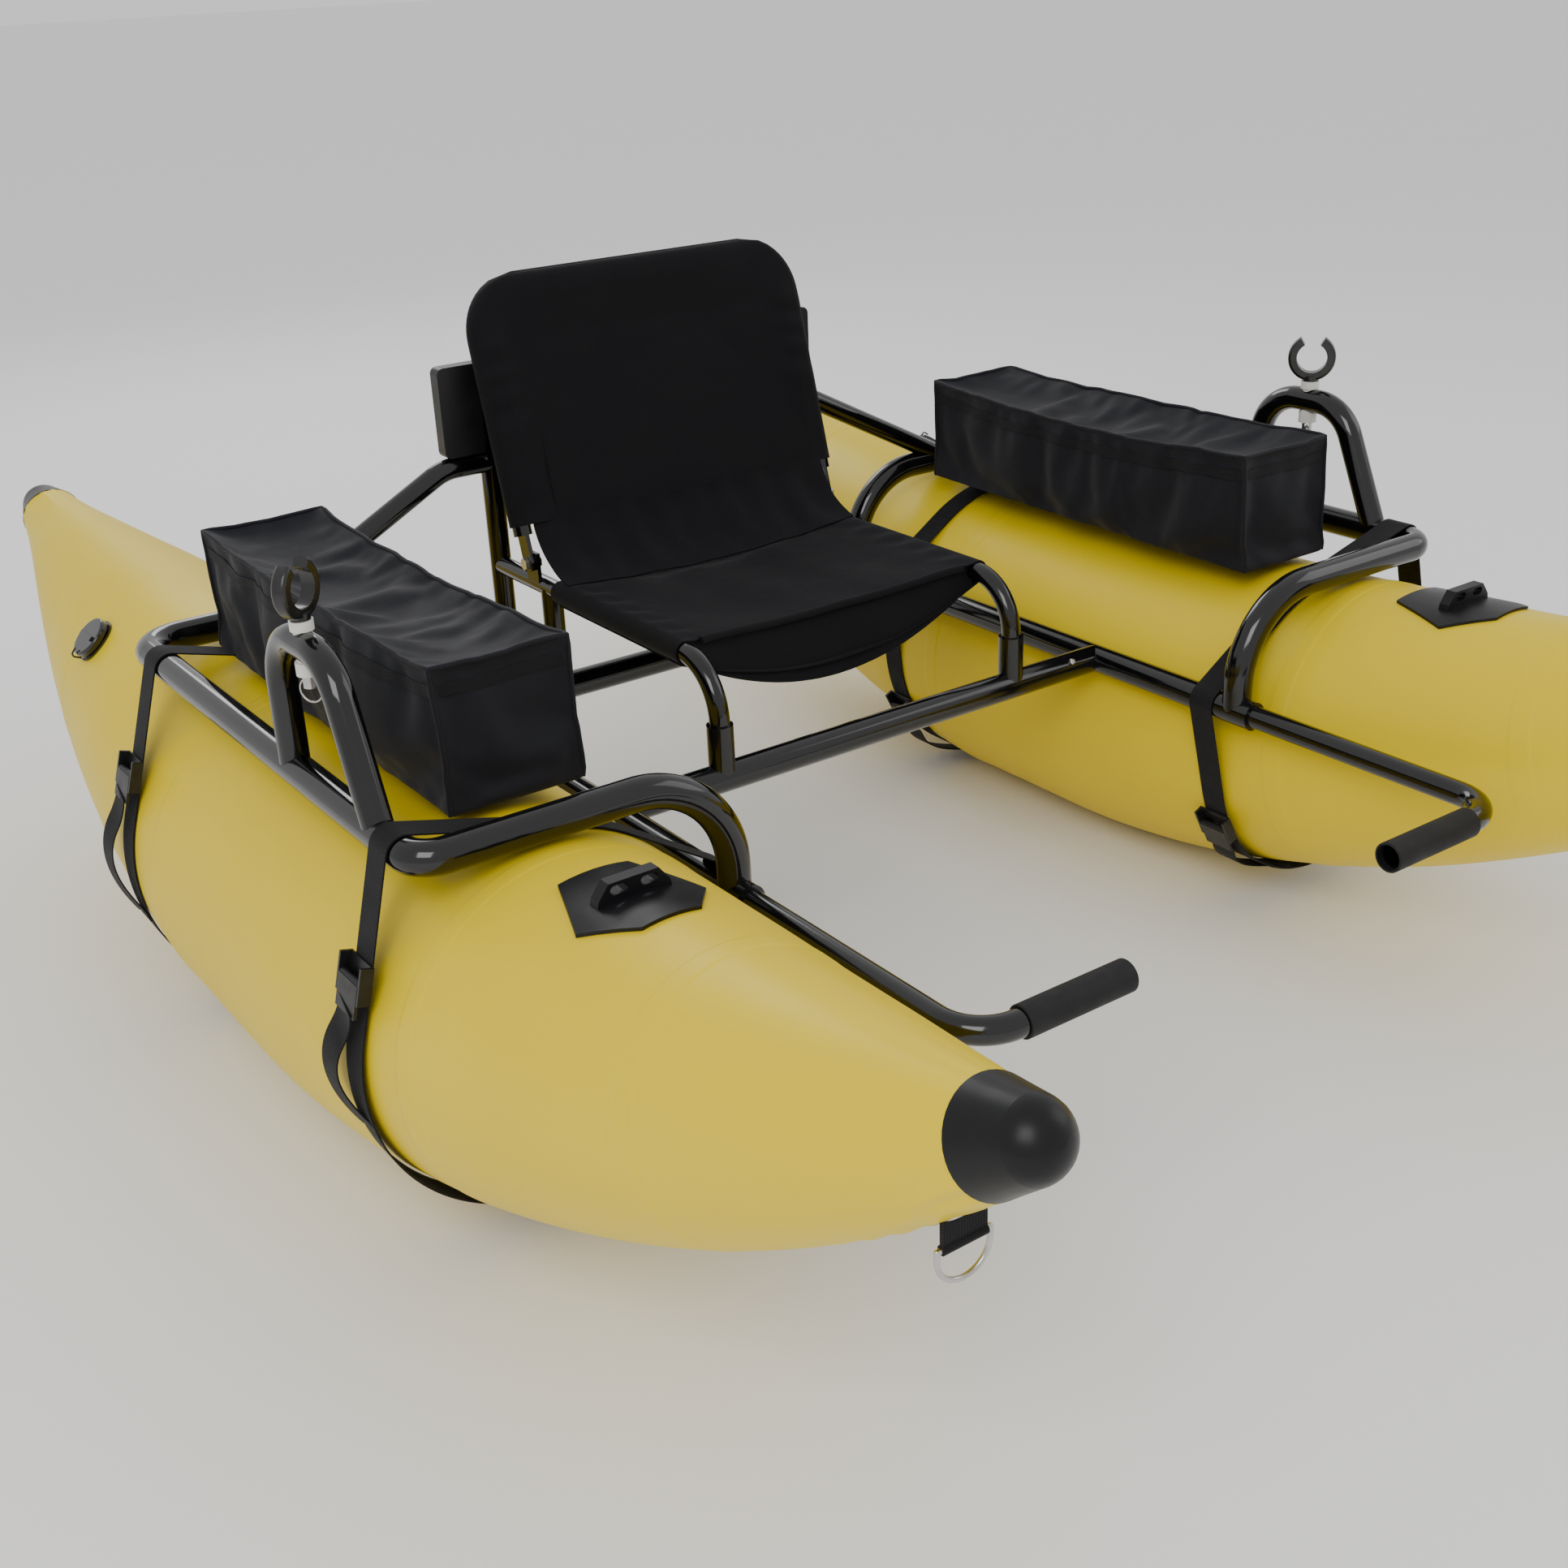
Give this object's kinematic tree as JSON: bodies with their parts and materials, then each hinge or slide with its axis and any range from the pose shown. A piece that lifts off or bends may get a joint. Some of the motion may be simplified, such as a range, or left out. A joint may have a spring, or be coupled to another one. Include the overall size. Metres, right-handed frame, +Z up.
{
  "type": "pontoon boat",
  "caption": "Small inflatable catamaran boat with a tube frame, folding seat, oarlocks, footrests, side bags and a motor board.",
  "frame": {"origin": "on the ground under the middle of the boat, at the lowest points of the two pontoons", "axes": "+Y from bow to stern along the pontoons, +X to port, +Z up"},
  "size_m": [1.43, 2.1298, 0.7526],
  "materials": {
    "pontoon_skin": "satin coated fabric",
    "moulded_rubber": "matte",
    "frame_paint": "gloss black powder coat",
    "seat_fabric": "woven polyester",
    "bag_fabric": "coated woven nylon",
    "webbing": "flat woven",
    "bare_steel": "plated",
    "nylon": "natural",
    "valve_plastic": "gloss",
    "buckle_metal": "black",
    "grip_rubber": "foam sleeve",
    "board_panel": "satin black",
    "oarlock_metal": "painted cast"
  },
  "bodies": {
    "boat_frame": {"bow_patches": "moulded_rubber", "frame_bolts": "bare_steel", "front_cross_bar": "frame_paint", "motor_arch": "frame_paint", "motor_board": "board_panel", "nose_caps": "moulded_rubber", "oarlock_bushings": "nylon", "port_bag": "bag_fabric", "port_front_arch": "frame_paint", "port_front_strap": "webbing", "port_inner_rail": "frame_paint", "port_oarlock_tower": "frame_paint", "port_outer_rail": "frame_paint", "port_pontoon": "pontoon_skin", "port_rear_arch": "frame_paint", "port_rear_strap": "webbing", "rear_cross_bar": "frame_paint", "rear_uprights": "frame_paint", "seat_rear_legs": "frame_paint", "seat_side_tubes": "frame_paint", "seat_sling": "seat_fabric", "seat_underlay": "seat_fabric", "starboard_bag": "bag_fabric", "starboard_front_arch": "frame_paint", "starboard_front_strap": "webbing", "starboard_inner_rail": "frame_paint", "starboard_oarlock_tower": "frame_paint", "starboard_outer_rail": "frame_paint", "starboard_pontoon": "pontoon_skin", "starboard_rear_arch": "frame_paint", "starboard_rear_strap": "webbing", "strap_buckles": "buckle_metal", "tow_tabs": "webbing", "valve_bodies": "valve_plastic"},
    "port_oarlock": {"port_oarlock": "oarlock_metal"},
    "port_split_ring": {"port_split_ring": "bare_steel"},
    "port_footrest": {"port_footrest": "frame_paint", "port_foot_grip": "grip_rubber"},
    "port_tow_ring": {"port_tow_ring": "bare_steel"},
    "port_valve_cap": {"port_valve_cap": "valve_plastic"},
    "port_valve_poppet": {"port_valve_poppet": "valve_plastic"},
    "port_front_cam_lever": {"port_front_cam_lever": "buckle_metal"},
    "port_front_snap_button": {"port_front_snap_button": "bare_steel"},
    "port_rear_cam_lever": {"port_rear_cam_lever": "buckle_metal"},
    "port_rear_snap_button": {"port_rear_snap_button": "bare_steel"},
    "starboard_oarlock": {"starboard_oarlock": "oarlock_metal"},
    "starboard_split_ring": {"starboard_split_ring": "bare_steel"},
    "starboard_footrest": {"starboard_footrest": "frame_paint", "starboard_foot_grip": "grip_rubber"},
    "starboard_tow_ring": {"starboard_tow_ring": "bare_steel"},
    "starboard_valve_cap": {"starboard_valve_cap": "valve_plastic"},
    "starboard_valve_poppet": {"starboard_valve_poppet": "valve_plastic"},
    "starboard_front_cam_lever": {"starboard_front_cam_lever": "buckle_metal"},
    "starboard_front_snap_button": {"starboard_front_snap_button": "bare_steel"},
    "starboard_rear_cam_lever": {"starboard_rear_cam_lever": "buckle_metal"},
    "starboard_rear_snap_button": {"starboard_rear_snap_button": "bare_steel"},
    "seat_back": {"seat_back_frame": "frame_paint", "seat_back_cover": "seat_fabric"}
  },
  "joints": [
    {"name": "port_oarlock_swivel", "type": "hinge", "parent": "boat_frame", "child": "port_oarlock", "pos_m": [0.638, -0.25458, 0.552], "axis": [0, 0, 1], "continuous": true},
    {"name": "port_split_ring_swing", "type": "hinge", "parent": "port_oarlock", "child": "port_split_ring", "pos_m": [0.638, -0.25458, 0.522], "axis": [-0.7771, -0.6293, 0], "range_deg": [-80, 80]},
    {"name": "port_footrest_slide", "type": "slide", "parent": "boat_frame", "child": "port_footrest", "axis": [0, -1, 0], "range_m": [-0.15, 0.1]},
    {"name": "port_tow_ring_swing", "type": "hinge", "parent": "boat_frame", "child": "port_tow_ring", "pos_m": [0.522, -0.975, 0.31391], "axis": [1, 0, 0], "range_deg": [-70, 70]},
    {"name": "port_valve_cap_turn", "type": "hinge", "parent": "boat_frame", "child": "port_valve_cap", "pos_m": [0.63372, 0.452, 0.36214], "axis": [0.6947, 0, 0.7193], "continuous": true},
    {"name": "port_valve_poppet_press", "type": "slide", "parent": "boat_frame", "child": "port_valve_poppet", "axis": [-0.6947, 0, -0.7193], "range_m": [0, 0.004], "stiffness_N_per_m": 500, "springref_m": -0.001},
    {"name": "port_front_cam_lever_open", "type": "hinge", "parent": "boat_frame", "child": "port_front_cam_lever", "pos_m": [0.35314, -0.398, 0.12576], "axis": [0, 1, 0], "range_deg": [0, 75], "stiffness_Nm_per_rad": 0.1, "springref_deg": -17.19},
    {"name": "port_front_snap_button_press", "type": "slide", "parent": "boat_frame", "child": "port_front_snap_button", "axis": [0, 0.766, -0.6428], "range_m": [0, 0.004], "stiffness_N_per_m": 800, "springref_m": -0.001},
    {"name": "port_rear_cam_lever_open", "type": "hinge", "parent": "boat_frame", "child": "port_rear_cam_lever", "pos_m": [0.34247, 0.165, 0.10564], "axis": [0, 1, 0], "range_deg": [0, 75], "stiffness_Nm_per_rad": 0.1, "springref_deg": -17.19},
    {"name": "port_rear_snap_button_press", "type": "slide", "parent": "boat_frame", "child": "port_rear_snap_button", "axis": [0, 0.766, -0.6428], "range_m": [0, 0.004], "stiffness_N_per_m": 800, "springref_m": -0.001},
    {"name": "starboard_oarlock_swivel", "type": "hinge", "parent": "boat_frame", "child": "starboard_oarlock", "pos_m": [-0.638, -0.25458, 0.552], "axis": [0, 0, 1], "continuous": true},
    {"name": "starboard_split_ring_swing", "type": "hinge", "parent": "starboard_oarlock", "child": "starboard_split_ring", "pos_m": [-0.638, -0.25458, 0.522], "axis": [0.5592, -0.829, 0], "range_deg": [-80, 80]},
    {"name": "starboard_footrest_slide", "type": "slide", "parent": "boat_frame", "child": "starboard_footrest", "axis": [0, -1, 0], "range_m": [-0.15, 0.1]},
    {"name": "starboard_tow_ring_swing", "type": "hinge", "parent": "boat_frame", "child": "starboard_tow_ring", "pos_m": [-0.522, -0.975, 0.31391], "axis": [1, 0, 0], "range_deg": [-70, 70]},
    {"name": "starboard_valve_cap_turn", "type": "hinge", "parent": "boat_frame", "child": "starboard_valve_cap", "pos_m": [-0.63372, 0.452, 0.36214], "axis": [-0.6947, 0, 0.7193], "continuous": true},
    {"name": "starboard_valve_poppet_press", "type": "slide", "parent": "boat_frame", "child": "starboard_valve_poppet", "axis": [0.6947, 0, -0.7193], "range_m": [0, 0.004], "stiffness_N_per_m": 500, "springref_m": -0.001},
    {"name": "starboard_front_cam_lever_open", "type": "hinge", "parent": "boat_frame", "child": "starboard_front_cam_lever", "pos_m": [-0.69207, -0.398, 0.31095], "axis": [0, 1, 0], "range_deg": [0, 75], "stiffness_Nm_per_rad": 0.1, "springref_deg": -17.19},
    {"name": "starboard_front_snap_button_press", "type": "slide", "parent": "boat_frame", "child": "starboard_front_snap_button", "axis": [0, 0.766, -0.6428], "range_m": [0, 0.004], "stiffness_N_per_m": 800, "springref_m": -0.001},
    {"name": "starboard_rear_cam_lever_open", "type": "hinge", "parent": "boat_frame", "child": "starboard_rear_cam_lever", "pos_m": [-0.69809, 0.165, 0.30958], "axis": [0, 1, 0], "range_deg": [0, 75], "stiffness_Nm_per_rad": 0.1, "springref_deg": -17.19},
    {"name": "starboard_rear_snap_button_press", "type": "slide", "parent": "boat_frame", "child": "starboard_rear_snap_button", "axis": [0, 0.766, -0.6428], "range_m": [0, 0.004], "stiffness_N_per_m": 800, "springref_m": -0.001},
    {"name": "seat_back_fold", "type": "hinge", "parent": "boat_frame", "child": "seat_back", "pos_m": [0, 0.15, 0.437], "axis": [1, 0, 0], "range_deg": [0, 100]}
  ]
}
